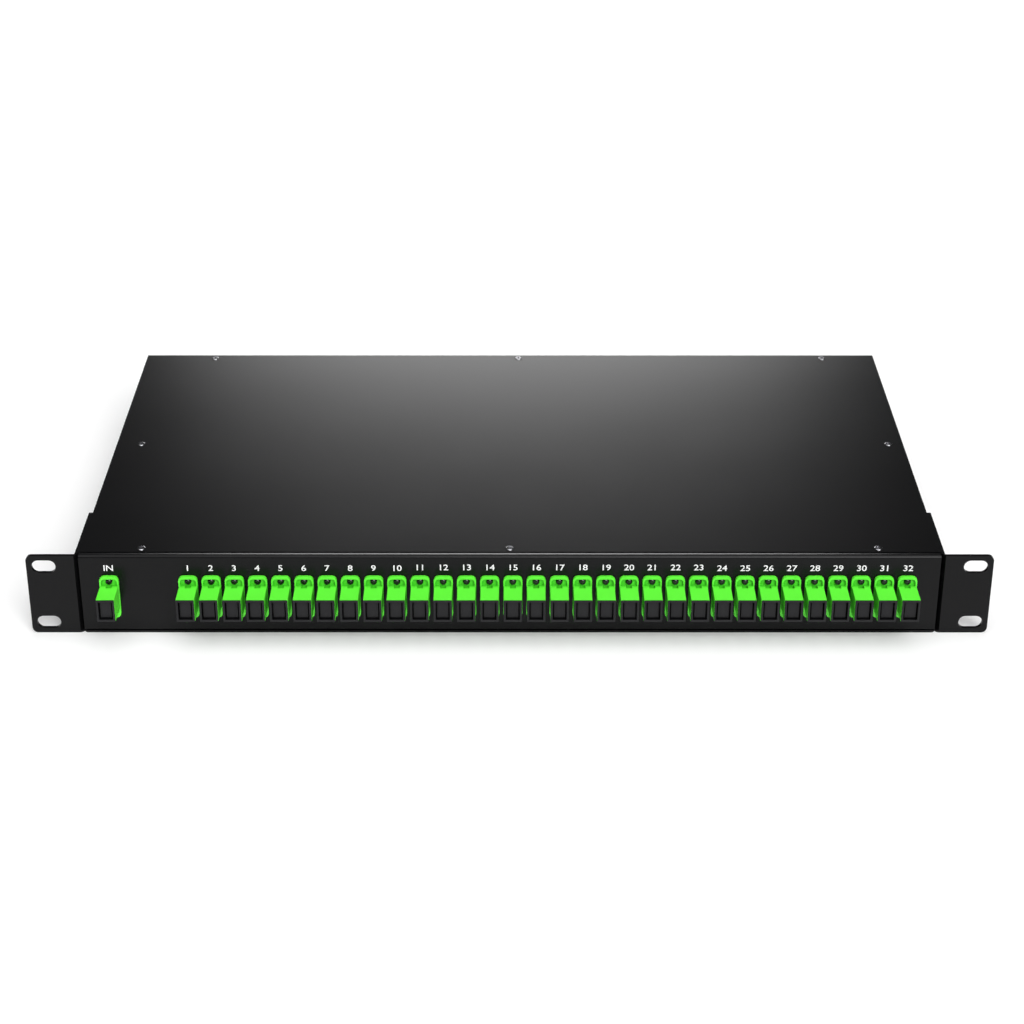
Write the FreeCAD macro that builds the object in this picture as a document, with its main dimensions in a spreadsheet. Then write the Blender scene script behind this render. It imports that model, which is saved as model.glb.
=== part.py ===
import FreeCAD, Part
import os
import re
import Sketcher

# A one-unit rack splitter for optical fibre, with one input port and thirty-two output ports.
# Lengths are millimetres. X runs to the right along the front, Y from the front to the back
# and Z up from the underside. Every piece is drawn with Y = 0 on the face of the front panel.
# The finished pieces are then shifted together, so that the origin is below the middle.

OUTPUT_PORTS = 32
OUTPUTS_IN_GROUP = 8

# Small round things are many, so each is a prism with few sides.
HEAD_SIDES = 6
SHANK_SIDES = 4
ADAPTER_SHANK_SIDES = 3
BUNDLE_SIDES = 8
REEL_SIDES = 12
TURN_STEPS = 6

SIZES = {
    "chassis_width": (430.0, "outside width of tray, cover and front panel"),
    "chassis_depth": (250.0, "front panel face to rear wall"),
    "chassis_height": (44.0, "underside to top of cover, one rack unit less its gap"),
    "sheet_metal": (1.2, "steel of tray, panel, cover and clamp"),
    "fold_outside": (1.6, "outside radius of a fold in that steel"),
    "slit": (0.3, "gap left between two folded edges"),
    "top_lip": (3.3, "visible depth of the front panel's top lip"),
    "panel_shelf": (14.0, "reach of the panel's shelf and bottom lip behind its face"),
    "side_flange": (16.0, "width of the tray's inward flanges"),
    "cover_front_inset": (8.2, "panel face to the front row of cover screws"),
    "cover_rear_inset": (4.5, "rear wall to the rear row of cover screws"),
    "cover_side_inset": (10.7, "chassis side to the side cover screws"),
    "cover_front_pitch": (184.5, "spacing of the front row of cover screws"),
    "cover_rear_pitch": (179.5, "spacing of the rear row of cover screws"),
    "cover_rear_shift": (4.9, "offset of the rear row to the right"),
    "cover_side_shift": (2.6, "offset of the two side cover screws to the right"),
    "cover_side_place": (128.5, "panel face to the side cover screws"),
    "ear_span": (482.6, "outside width over both rack ears"),
    "ear_metal": (2.0, "steel of the rack ears"),
    "ear_return": (50.0, "length of the ear's leg along the chassis side"),
    "ear_fold": (2.6, "outside radius of the ear's fold"),
    "ear_corner": (3.0, "corner radius of the ear's front plate"),
    "rack_hole_span": (465.1, "slot centre to slot centre across the rack"),
    "rack_hole_rise": (31.75, "lower slot to upper slot"),
    "rack_slot_length": (12.0, "end to end"),
    "rack_slot_width": (7.0, "width of the slot"),
    "ear_screw_first": (14.0, "panel face to the first column of ear screws"),
    "ear_screw_pitch": (26.0, "spacing of the ear screws along the chassis"),
    "ear_screw_rise": (22.0, "spacing of the ear screws up the chassis"),
    "port_pitch": (11.6, "spacing of the output ports"),
    "first_output": (-160.8, "place of output port 1"),
    "input_place": (-200.3, "place of the input port"),
    "port_height": (21.8, "underside to the middle of a port"),
    "adapter_width": (9.1, "width of an adapter's body and its dust cap"),
    "flange_width": (9.6, "width of an adapter's flange"),
    "adapter_height": (12.1, "height of an adapter's body"),
    "adapter_front": (13.5, "body in front of the flange"),
    "adapter_rear": (13.0, "body behind the panel face"),
    "ear_height": (24.2, "adapter flange, end to end"),
    "ear_chamfer": (2.1, "cut corner of the adapter flange"),
    "flange_metal": (2.0, "thickness of the adapter flange"),
    "cavity_width": (7.6, "inside width of a port"),
    "cavity_height": (9.6, "inside height of a port"),
    "bulkhead": (2.0, "wall in the middle of an adapter"),
    "opening_gap": (0.1, "panel opening beyond the adapter body, each side"),
    "adapter_screw_rise": (8.4, "middle of a port to its screws"),
    "adapter_screw_head": (1.75, "head radius"),
    "adapter_screw_cap": (1.2, "head height"),
    "adapter_screw_shank": (0.95, "shank radius"),
    "adapter_screw_reach": (4.6, "shank length"),
    "screw_gap": (0.05, "hole beyond the shank"),
    "sleeve_outer": (1.6, "outside radius of the ceramic sleeve"),
    "sleeve_wall": (0.33, "wall of the ceramic sleeve"),
    "sleeve_length": (11.4, "length of the ceramic sleeve"),
    "cap_plate": (1.2, "dust cap's front plate"),
    "cap_wall": (0.55, "wall of the dust cap's plug round its pocket"),
    "cap_pocket": (2.8, "depth of the dust cap's pocket"),
    "cap_plug": (6.8, "length of the dust cap's plug inside the port"),
    "cap_gap": (0.06, "port wall to plug, each side"),
    "plug_gap": (0.1, "port wall to the pigtail connector, each side"),
    "connector_reach": (22.0, "panel face to the back of the pigtail connector"),
    "fibre_radius": (0.45, "buffered fibre"),
    "bundle_radius": (3.0, "middle of the bundle of output fibres to its flats"),
    "reel_bend": (35.0, "bend radius of the bundle round the reel"),
    "reel_place": (95.0, "middle of the chassis to each reel"),
    "reel_height": (10.0, "height of a reel's drum"),
    "reel_wall": (2.0, "wall of a reel's drum"),
    "reel_gap": (0.3, "reel drum to the bundle"),
    "reel_tab": (9.0, "reach of a reel's tabs beyond the drum"),
    "reel_tab_width": (10.0, "width of a reel's tabs"),
    "input_bend": (40.0, "bend radius of the input fibre"),
    "tail_pitch": (5.6, "spacing of the fibres where they leave the bundle"),
    "first_tail": (-87.0, "place where fibre 1 leaves the bundle"),
    "bundle_end": (-95.0, "place of the bundle's far end"),
    "module_length": (100.0, "splitter module"),
    "module_width": (20.0, "splitter module"),
    "module_height": (6.0, "splitter module"),
    "module_boot": (12.0, "length of the module's boots"),
    "module_boot_root": (12.0, "width of those boots where they meet the module"),
    "clamp_width": (12.0, "strap over the module"),
    "clamp_foot": (10.0, "foot of the strap"),
    "clamp_gap": (0.2, "strap to the module's side"),
    "clip_width": (3.0, "clip on the bundle"),
    "clip_wall": (1.2, "wall of a clip"),
    "floor_screw_head": (2.8, "head radius of the screws in the floor"),
    "floor_screw_cap": (1.8, "head height"),
    "floor_screw_shank": (1.45, "shank radius"),
    "floor_screw_tip": (0.2, "underside to the end of the shank"),
    "panel_screw_pitch": (180.0, "spacing of the screws in the panel's bottom lip"),
    "panel_screw_inset": (9.0, "panel face to those screws"),
    "cover_screw_head": (2.2, "head radius of the cover screws"),
    "cover_screw_cap": (0.4, "head height above the cover"),
    "cover_screw_shank": (1.25, "shank radius"),
    "cover_screw_reach": (4.0, "shank length"),
    "ear_screw_head": (3.6, "head radius of the ear screws"),
    "ear_screw_cap": (2.0, "head height"),
    "ear_screw_shank": (1.95, "shank radius"),
    "ear_screw_reach": (5.0, "shank length"),
}

os.makedirs("parts", exist_ok=True)
doc = FreeCAD.newDocument("fibre_splitter")
sheet = doc.addObject("Spreadsheet::Sheet", "sizes")
for row, (name, (value, note)) in enumerate(SIZES.items(), 1):
    sheet.set(f"A{row}", name)
    sheet.set(f"B{row}", str(value))
    sheet.set(f"C{row}", note)
    sheet.setAlias(f"B{row}", name)
doc.recompute()

# Places that several pieces share, written as formulas of the sheet's cells.
FRONT_SHIFT = "(flange_metal + adapter_front + cap_plate - chassis_depth) / 2"
COVER_UNDERSIDE = "chassis_height - sheet_metal"
BUNDLE_FRONT = "chassis_depth / 2"
REEL_MIDDLE = f"{BUNDLE_FRONT} + reel_bend"
BUNDLE_REAR = f"{BUNDLE_FRONT} + 2 * reel_bend"
FLOOR_LEVEL = "sheet_metal"
MODULE_MIDDLE = "sheet_metal + module_height / 2"
SLEEVE_MIDDLE = "-flange_metal / 2 - bulkhead / 2"
SLEEVE_END = f"{SLEEVE_MIDDLE} + sleeve_length / 2"
CLAMP_SCREW = "module_width / 2 + clamp_gap + sheet_metal + clamp_foot / 2"


def formula(text):
    """The text with each size's name pointing at its cell in the sheet."""
    return re.sub(r"[a-z_]+", lambda word: f"sizes.{word[0]}" if word[0] in SIZES else word[0], text)


def amount(text):
    """The number that a formula gives now."""
    value = sheet.evalExpression(formula(text))
    return float(getattr(value, "Value", value))


def bind(item, **texts):
    for name, text in texts.items():
        item.setExpression(name, formula(text))


def place(item, x="0", y="0", z="0"):
    for axis, text in zip("xyz", (x, y, z)):
        item.setExpression(f"Placement.Base.{axis}", formula(text))


def plane(body, role):
    return next(part for part in body.Origin.OriginFeatures if part.Role == role)


def new_body(label):
    body = doc.addObject("PartDesign::Body", label)
    body.Label = label
    return body


def block(body, name, x, y, z, cut=False):
    """A box feature. Each of x, y and z gives the low end and the length."""
    item = body.newObject("PartDesign::SubtractiveBox" if cut else "PartDesign::AdditiveBox", name)
    bind(item, Length=x[1], Width=y[1], Height=z[1])
    place(item, x[0], y[0], z[0])
    return item


TURNS = {
    "Z": FreeCAD.Rotation(),
    "Y": FreeCAD.Rotation(FreeCAD.Vector(1, 0, 0), -90),
    "X": FreeCAD.Rotation(FreeCAD.Vector(0, 1, 0), 90),
}


def prism(body, name, sides, radius, length, centre, along="Z", cut=False):
    """A prism feature that starts at centre and runs along the named axis."""
    item = body.newObject("PartDesign::SubtractivePrism" if cut else "PartDesign::AdditivePrism", name)
    item.Polygon = sides
    item.Placement.Rotation = TURNS[along]
    bind(item, Circumradius=radius, Height=length)
    place(item, *centre)
    return item


def repeat(body, feature, role, length, count):
    """A row of copies of the feature along one axis, as the body's new tip."""
    pattern = body.newObject("PartDesign::LinearPattern", feature.Name + "_row")
    pattern.Originals = [feature]
    pattern.Direction = (plane(body, role), [""])
    bind(pattern, Length=length)
    pattern.Occurrences = count
    body.Tip = pattern


def dress_edges(body, name, size, wanted, kind="Fillet"):
    """A fillet or chamfer on the straight edges of the body for which wanted(low, high) holds."""
    doc.recompute()
    base = body.Tip
    names = []
    for number, edge in enumerate(base.Shape.Edges, 1):
        box = edge.BoundBox
        low = FreeCAD.Vector(box.XMin, box.YMin, box.ZMin)
        high = FreeCAD.Vector(box.XMax, box.YMax, box.ZMax)
        if wanted(low, high):
            names.append(f"Edge{number}")
    if not names:
        raise RuntimeError(f"{body.Label}: no edge found for {name}")
    dressed = body.newObject(f"PartDesign::{kind}", name)
    dressed.Base = (base, names)
    bind(dressed, **{"Radius" if kind == "Fillet" else "Size": size})
    body.Tip = dressed


def near(first, second):
    return abs(first - second) < 1e-4


def copy_of(source, label, x="0", y="0", z="0", turn=None):
    """A placed copy of a finished object."""
    item = doc.addObject("Part::Compound", label)
    item.Label = label
    item.Links = [source]
    if turn is not None:
        item.Placement.Rotation = turn
    place(item, x, y, z)
    return item


def group(label, items):
    """Many like solids as one sub-part."""
    item = doc.addObject("Part::Compound", label)
    item.Label = label
    item.Links = items
    return item


def rectangle(sketch, name, x, y):
    """A rectangle in a sketch. Each of x and y gives the low end and the length."""
    left, width = amount(x[0]), amount(x[1])
    low, height = amount(y[0]), amount(y[1])
    corners = [
        FreeCAD.Vector(left, low),
        FreeCAD.Vector(left + width, low),
        FreeCAD.Vector(left + width, low + height),
        FreeCAD.Vector(left, low + height),
    ]
    first = sketch.GeometryCount
    for side in range(4):
        sketch.addGeometry(Part.LineSegment(corners[side], corners[(side + 1) % 4]))
    for side in range(4):
        sketch.addConstraint(Sketcher.Constraint("Coincident", first + side, 2, first + (side + 1) % 4, 1))
        direction = "Vertical" if side % 2 else "Horizontal"
        sketch.addConstraint(Sketcher.Constraint(direction, first + side))
    signed = (
        ("left", "DistanceX", (-1, 1, first, 1), left, x[0]),
        ("low", "DistanceY", (-1, 1, first, 1), low, y[0]),
        ("width", "DistanceX", (first, 1, first, 2), width, x[1]),
        ("height", "DistanceY", (first + 1, 1, first + 1, 2), height, y[1]),
    )
    for part, kind, points, value, text in signed:
        number = sketch.addConstraint(Sketcher.Constraint(kind, *points, value))
        sketch.renameConstraint(number, f"{name}_{part}")
        sketch.setExpression(f"Constraints.{name}_{part}", formula(text))


def slot(sketch, name, middle, rise, length, width):
    """A level slot with round ends in a sketch."""
    reach = amount(f"({length}) / 2 - ({width}) / 2")
    radius = amount(f"({width}) / 2")
    x, y = amount(middle), amount(rise)
    left = FreeCAD.Vector(x - reach, y)
    right = FreeCAD.Vector(x + reach, y)
    up = FreeCAD.Vector(0, radius)
    across = FreeCAD.Vector(radius, 0)
    first = sketch.GeometryCount
    sketch.addGeometry(Part.LineSegment(left + up, right + up))
    sketch.addGeometry(Part.Arc(right - up, right + across, right + up))
    sketch.addGeometry(Part.LineSegment(right - up, left - up))
    sketch.addGeometry(Part.Arc(left + up, left - across, left - up))
    sketch.addConstraint(Sketcher.Constraint("Tangent", first, 2, first + 1, 2))
    sketch.addConstraint(Sketcher.Constraint("Tangent", first + 1, 1, first + 2, 1))
    sketch.addConstraint(Sketcher.Constraint("Tangent", first + 2, 2, first + 3, 2))
    sketch.addConstraint(Sketcher.Constraint("Tangent", first + 3, 1, first, 1))
    sketch.addConstraint(Sketcher.Constraint("Horizontal", first))
    sketch.addConstraint(Sketcher.Constraint("Equal", first + 1, first + 3))
    half = f"({length}) / 2 - ({width}) / 2"
    named = (
        ("radius", ("Radius", first + 1, radius), f"({width}) / 2"),
        ("right", ("DistanceX", -1, 1, first + 1, 3, x + reach), f"({middle}) + {half}"),
        ("left", ("DistanceX", -1, 1, first + 3, 3, x - reach), f"({middle}) - ({half})"),
        ("rise", ("DistanceY", -1, 1, first + 1, 3, y), rise),
    )
    for part, terms, text in named:
        number = sketch.addConstraint(Sketcher.Constraint(*terms))
        sketch.renameConstraint(number, f"{name}_{part}")
        sketch.setExpression(f"Constraints.{name}_{part}", formula(text))


def new_sketch(body, name, role, lift="0"):
    """A sketch on one of the body's own planes, lifted off it by a formula."""
    sketch = body.newObject("Sketcher::SketchObject", name)
    sketch.AttachmentSupport = [(plane(body, role), "")]
    sketch.MapMode = "FlatFace"
    sketch.setExpression("AttachmentOffset.Base.z", formula(lift))
    return sketch


def pad(body, sketch, length):
    item = body.newObject("PartDesign::Pad", sketch.Name + "_pad")
    item.Profile = sketch
    bind(item, Length=length)
    body.Tip = item
    return item


# The floor screws' places: in the panel's lip, in the two reels and in the module's strap.
PANEL_SCREW_PLACES = [(f"{step} * panel_screw_pitch", "panel_screw_inset") for step in (-1, 0, 1)]
INNER_SCREW_PLACES = [
    ("-reel_place", REEL_MIDDLE),
    ("reel_place", REEL_MIDDLE),
    ("0", f"{BUNDLE_REAR} - ({CLAMP_SCREW})"),
    ("0", f"{BUNDLE_REAR} + {CLAMP_SCREW}"),
]

# The cover screws' places, in the order front row, rear row, sides.
FRONT_ROW = [(f"{step} * cover_front_pitch", "cover_front_inset") for step in (-1, 0, 1)]
REAR_ROW = [
    (f"{step} * cover_rear_pitch + cover_rear_shift", "chassis_depth - cover_rear_inset")
    for step in (-1, 0, 1)
]
SIDE_PAIR = [
    (f"{side} * (chassis_width / 2 - cover_side_inset) + cover_side_shift", "cover_side_place")
    for side in (-1, 1)
]

# The ear screws' places up and along one side of the chassis.
EAR_SCREW_PLACES = [
    ("ear_screw_first", "chassis_height / 2 - ear_screw_rise / 2"),
    ("ear_screw_first", "chassis_height / 2 + ear_screw_rise / 2"),
    ("ear_screw_first + ear_screw_pitch", "chassis_height / 2"),
]

# The ports' places along the front. The input port is the first.
OUTPUT_PLACES = [f"first_output + {number} * port_pitch" for number in range(OUTPUT_PORTS)]
PORT_PLACES = ["input_place"] + OUTPUT_PLACES


def make_base_tray():
    """Floor, two sides and rear wall folded from one sheet, with flanges for the cover."""
    body = new_body("base_tray")
    outline = new_sketch(body, "tray_outline", "XY_Plane")
    rectangle(outline, "outside", ("-chassis_width / 2", "chassis_width"), ("0", "chassis_depth"))
    pad(body, outline, COVER_UNDERSIDE)
    width = amount("chassis_width")
    depth = amount("chassis_depth")

    def bottom_fold(low, high):
        at_side = near(low.x, high.x) and near(abs(low.x), width / 2)
        at_rear = near(low.y, depth) and near(high.y, depth)
        return near(low.z, 0) and near(high.z, 0) and (at_side or at_rear)

    dress_edges(body, "outside_folds", "fold_outside", bottom_fold)
    block(
        body,
        "hollow",
        ("-chassis_width / 2 + sheet_metal", "chassis_width - 2 * sheet_metal"),
        ("-1", "chassis_depth - sheet_metal + 1"),
        ("sheet_metal", "chassis_height"),
        cut=True,
    )
    block(
        body,
        "front_cut",
        ("-chassis_width / 2 - 1", "chassis_width + 2"),
        ("-1", "sheet_metal + 1"),
        ("sheet_metal", "chassis_height"),
        cut=True,
    )
    for side, low in (("left", "-chassis_width / 2"), ("right", "chassis_width / 2 - side_flange")):
        block(
            body,
            f"{side}_flange",
            (low, "side_flange"),
            ("panel_shelf + slit", "chassis_depth - side_flange - 2 * slit - panel_shelf"),
            (f"{COVER_UNDERSIDE} - sheet_metal", "sheet_metal"),
        )
    block(
        body,
        "rear_flange",
        ("-chassis_width / 2 + sheet_metal + slit", "chassis_width - 2 * (sheet_metal + slit)"),
        ("chassis_depth - side_flange", "side_flange"),
        (f"{COVER_UNDERSIDE} - sheet_metal", "sheet_metal"),
    )
    for side, low in (
        ("left", "-chassis_width / 2 + sheet_metal"),
        ("right", "chassis_width / 2 - sheet_metal - slit"),
    ):
        block(
            body,
            f"{side}_seam",
            (low, "slit"),
            ("chassis_depth - side_flange - 1", "side_flange + 2"),
            ("fold_outside", "chassis_height"),
            cut=True,
        )
    for number, (x, y) in enumerate(REAR_ROW + SIDE_PAIR):
        prism(
            body,
            f"cover_thread_{number}",
            SHANK_SIDES,
            "cover_screw_shank + screw_gap",
            "3 * sheet_metal",
            (x, y, f"{COVER_UNDERSIDE} - 2 * sheet_metal"),
            cut=True,
        )
    for number, (x, y) in enumerate(PANEL_SCREW_PLACES + INNER_SCREW_PLACES):
        prism(
            body,
            f"floor_thread_{number}",
            SHANK_SIDES,
            "floor_screw_shank + screw_gap",
            "3 * sheet_metal",
            (x, y, "-sheet_metal"),
            cut=True,
        )
    for number, (y, z) in enumerate(EAR_SCREW_PLACES):
        prism(
            body,
            f"side_threads_{number}",
            SHANK_SIDES,
            "ear_screw_shank + screw_gap",
            "chassis_width + 2",
            ("-chassis_width / 2 - 1", y, z),
            along="X",
            cut=True,
        )
    return body


def make_front_panel():
    """Folded front: face, bottom lip, top lip and the shelf that the cover rests on."""
    body = new_body("front_panel")
    full = ("-chassis_width / 2", "chassis_width")
    inner = ("-chassis_width / 2 + sheet_metal + slit", "chassis_width - 2 * (sheet_metal + slit)")
    block(body, "face", full, ("0", "sheet_metal"), ("sheet_metal", COVER_UNDERSIDE))
    block(body, "bottom_lip", inner, ("0", "panel_shelf"), ("sheet_metal", "sheet_metal"))
    block(body, "top_lip", full, ("0", "top_lip"), (COVER_UNDERSIDE, "sheet_metal"))
    step = f"{COVER_UNDERSIDE} - sheet_metal"
    step_front = "top_lip - sheet_metal"
    block(body, "step_down", inner, (step_front, "sheet_metal"), (step, "2 * sheet_metal"))
    block(body, "shelf", inner, (step_front, f"panel_shelf - ({step_front})"), (step, "sheet_metal"))
    body.Tip = doc.getObject("shelf")
    top = amount("chassis_height")
    floor = amount("sheet_metal")

    def front_fold(low, high):
        at_face = near(low.y, 0) and near(high.y, 0)
        level = near(low.z, high.z)
        return at_face and level and (near(low.z, top) or near(low.z, floor))

    dress_edges(body, "outside_folds", "fold_outside", front_fold)
    for name, places, count in (("input", "input_place", 1), ("output", "first_output", OUTPUT_PORTS)):
        opening = block(
            body,
            f"{name}_opening",
            (f"{places} - adapter_width / 2 - opening_gap", "adapter_width + 2 * opening_gap"),
            ("-1", "sheet_metal + 2"),
            ("port_height - adapter_height / 2 - opening_gap", "adapter_height + 2 * opening_gap"),
            cut=True,
        )
        body.Tip = opening
        if count > 1:
            repeat(body, opening, "X_Axis", f"{count - 1} * port_pitch", count)
        for level in (-1, 1):
            hole = prism(
                body,
                f"{name}_thread_{'low' if level < 0 else 'high'}",
                ADAPTER_SHANK_SIDES,
                "adapter_screw_shank + screw_gap",
                "sheet_metal + 2",
                (places, "-1", f"port_height + {level} * adapter_screw_rise"),
                along="Y",
                cut=True,
            )
            body.Tip = hole
            if count > 1:
                repeat(body, hole, "X_Axis", f"{count - 1} * port_pitch", count)
    for number, (x, y) in enumerate(FRONT_ROW):
        hole = prism(
            body,
            f"shelf_thread_{number}",
            SHANK_SIDES,
            "cover_screw_shank + screw_gap",
            "3 * sheet_metal",
            (x, y, f"{COVER_UNDERSIDE} - 2 * sheet_metal"),
            cut=True,
        )
        body.Tip = hole
    for number, (x, y) in enumerate(PANEL_SCREW_PLACES):
        hole = prism(
            body,
            f"lip_hole_{number}",
            SHANK_SIDES,
            "floor_screw_shank + screw_gap",
            "3 * sheet_metal",
            (x, y, "0"),
            cut=True,
        )
        body.Tip = hole
    return body


def make_top_cover():
    """Flat plate that drops in behind the panel's top lip."""
    body = new_body("top_cover")
    outline = new_sketch(body, "cover_outline", "XY_Plane", COVER_UNDERSIDE)
    rectangle(
        outline,
        "plate",
        ("-chassis_width / 2", "chassis_width"),
        ("top_lip + slit", "chassis_depth - top_lip - slit"),
    )
    pad(body, outline, "sheet_metal")
    for number, (x, y) in enumerate(FRONT_ROW + REAR_ROW + SIDE_PAIR):
        prism(
            body,
            f"cover_hole_{number}",
            SHANK_SIDES,
            "cover_screw_shank + screw_gap",
            "3 * sheet_metal",
            (x, y, f"{COVER_UNDERSIDE} - sheet_metal"),
            cut=True,
        )
    return body


def make_rack_ear(label, side):
    """Folded bracket: a leg along the chassis side and a slotted plate beside the front panel."""
    body = new_body(label)
    plate = "ear_span / 2 - chassis_width / 2"
    leg_low = "chassis_width / 2" if side > 0 else "-chassis_width / 2 - ear_metal"
    plate_low = "chassis_width / 2" if side > 0 else "-ear_span / 2"
    block(body, f"{label}_leg", (leg_low, "ear_metal"), ("0", "ear_return"), ("0", "chassis_height"))
    block(body, f"{label}_plate", (plate_low, plate), ("0", "ear_metal"), ("0", "chassis_height"))
    root = side * amount("chassis_width / 2")
    edge = side * amount("ear_span / 2")
    reach = amount("ear_return")

    def upright(low, high, x, y):
        return near(low.x, x) and near(high.x, x) and near(low.y, y) and near(high.y, y)

    def plate_corner(low, high):
        return near(low.x, edge) and near(high.x, edge) and near(low.z, high.z)

    def leg_corner(low, high):
        return near(low.y, reach) and near(high.y, reach) and near(low.z, high.z)

    dress_edges(body, f"{label}_fold", "ear_fold", lambda low, high: upright(low, high, root, 0))
    dress_edges(body, f"{label}_plate_corners", "ear_corner", plate_corner)
    dress_edges(body, f"{label}_leg_corners", "ear_corner", leg_corner, "Chamfer")
    slots = new_sketch(body, f"{label}_slots", "XZ_Plane")
    for name, level in (("low", -0.5), ("high", 0.5)):
        slot(
            slots,
            name,
            f"{side} * rack_hole_span / 2",
            f"chassis_height / 2 + {level} * rack_hole_rise",
            "rack_slot_length",
            "rack_slot_width",
        )
    pocket = body.newObject("PartDesign::Pocket", f"{label}_slot_cut")
    pocket.Profile = slots
    pocket.Midplane = True
    bind(pocket, Length="4 * ear_metal")
    body.Tip = pocket
    for number, (y, z) in enumerate(EAR_SCREW_PLACES):
        prism(
            body,
            f"{label}_hole_{number}",
            SHANK_SIDES,
            "ear_screw_shank + screw_gap",
            "3 * ear_metal",
            (f"{leg_low} - ear_metal", y, z),
            along="X",
            cut=True,
        )
    return body


def make_screw(name, reach, shank_sides=SHANK_SIDES):
    """A screw that points down, sized by its own rows of the sheet, its head's seat at the origin."""
    body = new_body(name)
    prism(body, f"{name}_top", HEAD_SIDES, f"{name}_head", f"{name}_cap", ("0", "0", "0"))
    prism(body, f"{name}_stem", shank_sides, f"{name}_shank", reach, ("0", "0", f"-({reach})"))
    return body


def make_adapter():
    """One adapter about the middle of its port: flange with two ears, body, bulkhead and cavities."""
    body = new_body("adapter")
    flange = ("-flange_width / 2", "flange_width")
    width = ("-adapter_width / 2", "adapter_width")
    height = ("-adapter_height / 2", "adapter_height")
    block(body, "flange", flange, ("-flange_metal", "flange_metal"), ("-ear_height / 2", "ear_height"))
    dress_edges(
        body,
        "ear_corners",
        "ear_chamfer",
        lambda low, high: near(low.x, high.x) and near(low.z, high.z),
        "Chamfer",
    )
    length = "adapter_front + flange_metal + adapter_rear"
    block(body, "barrel", width, ("-adapter_front - flange_metal", length), height)
    hollow_width = ("-cavity_width / 2", "cavity_width")
    hollow_height = ("-cavity_height / 2", "cavity_height")
    block(
        body,
        "front_cavity",
        hollow_width,
        ("-adapter_front - flange_metal - 1", "adapter_front + 1 + flange_metal / 2 - bulkhead"),
        hollow_height,
        cut=True,
    )
    block(
        body,
        "rear_cavity",
        hollow_width,
        ("-flange_metal / 2", "adapter_rear + flange_metal / 2 + 1"),
        hollow_height,
        cut=True,
    )
    prism(
        body,
        "sleeve_seat",
        SHANK_SIDES,
        "sleeve_outer + screw_gap",
        "2 * bulkhead",
        ("0", f"{SLEEVE_MIDDLE} - bulkhead", "0"),
        along="Y",
        cut=True,
    )
    for level in (-1, 1):
        prism(
            body,
            f"ear_hole_{'low' if level < 0 else 'high'}",
            ADAPTER_SHANK_SIDES,
            "adapter_screw_shank + screw_gap",
            "flange_metal + 2",
            ("0", "-flange_metal - 1", f"{level} * adapter_screw_rise"),
            along="Y",
            cut=True,
        )
    return body


def make_dust_cap():
    """One dust cap: a front plate with a pocket, and the plug that fills the port's mouth."""
    body = new_body("dust_cap")
    mouth = "-adapter_front - flange_metal"
    block(
        body,
        "cap_front",
        ("-adapter_width / 2", "adapter_width"),
        (f"{mouth} - cap_plate", "cap_plate"),
        ("-adapter_height / 2", "adapter_height"),
    )
    block(
        body,
        "cap_plug",
        ("-cavity_width / 2 + cap_gap", "cavity_width - 2 * cap_gap"),
        (f"{mouth} - cap_plate / 2", "cap_plug + cap_plate / 2"),
        ("-cavity_height / 2 + cap_gap", "cavity_height - 2 * cap_gap"),
    )
    pocket_width = "(cavity_width - 2 * cap_gap - 2 * cap_wall)"
    pocket_height = "(cavity_height - 2 * cap_gap - 2 * cap_wall)"
    block(
        body,
        "cap_hollow",
        (f"-{pocket_width} / 2", pocket_width),
        (f"{mouth} - cap_plate - 1", "cap_pocket + 1"),
        (f"-{pocket_height} / 2", pocket_height),
        cut=True,
    )
    return body


def make_sleeve():
    """The ceramic sleeve, its rear half filled by the pigtail's ferrule."""
    body = new_body("sleeve")
    start = ("0", f"{SLEEVE_MIDDLE} - sleeve_length / 2", "0")
    mouth = ("0", f"{SLEEVE_MIDDLE} - sleeve_length / 2 - 1", "0")
    bore = "sleeve_outer - sleeve_wall"
    prism(body, "sleeve_outside", SHANK_SIDES, "sleeve_outer", "sleeve_length", start, along="Y")
    prism(body, "sleeve_bore", SHANK_SIDES, bore, "sleeve_length / 2 + 1", mouth, along="Y", cut=True)
    return body


def make_connector():
    """A pigtail's connector in the rear of its adapter."""
    body = new_body("connector")
    block(
        body,
        "housing",
        ("-cavity_width / 2 + plug_gap", "cavity_width - 2 * plug_gap"),
        (SLEEVE_END, f"connector_reach - ({SLEEVE_END})"),
        ("-cavity_height / 2 + plug_gap", "cavity_height - 2 * plug_gap"),
    )
    return body


def make_module_boot():
    """A boot that starts at the origin, runs back along Y and narrows towards its fibre."""
    item = doc.addObject("Part::Wedge", "module_boot_piece")
    root = "module_height / 2"
    tip = "bundle_radius"
    bind(item, Xmin="-module_boot_root / 2", Xmax="module_boot_root / 2", Zmin=f"-{root}", Zmax=root)
    bind(item, X2min=f"-{tip}", X2max=tip, Z2min=f"-{tip}", Z2max=tip)
    bind(item, Ymin="0", Ymax="module_boot")
    return item


def at_ports(label, source, places, y="0", rises=("0",), turn=None):
    """Copies of a piece at the named ports, as one sub-part."""
    items = []
    for number, x in enumerate(places):
        for level, rise in enumerate(rises):
            name = f"{label}_{number}_{level}"
            items.append(copy_of(source, name, x, y, f"port_height + {rise}", turn))
    return group(label, items)


def at_points(label, source, places, z, turn=None):
    items = [copy_of(source, f"{label}_{number}", x, y, z, turn) for number, (x, y) in enumerate(places)]
    return group(label, items)


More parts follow.
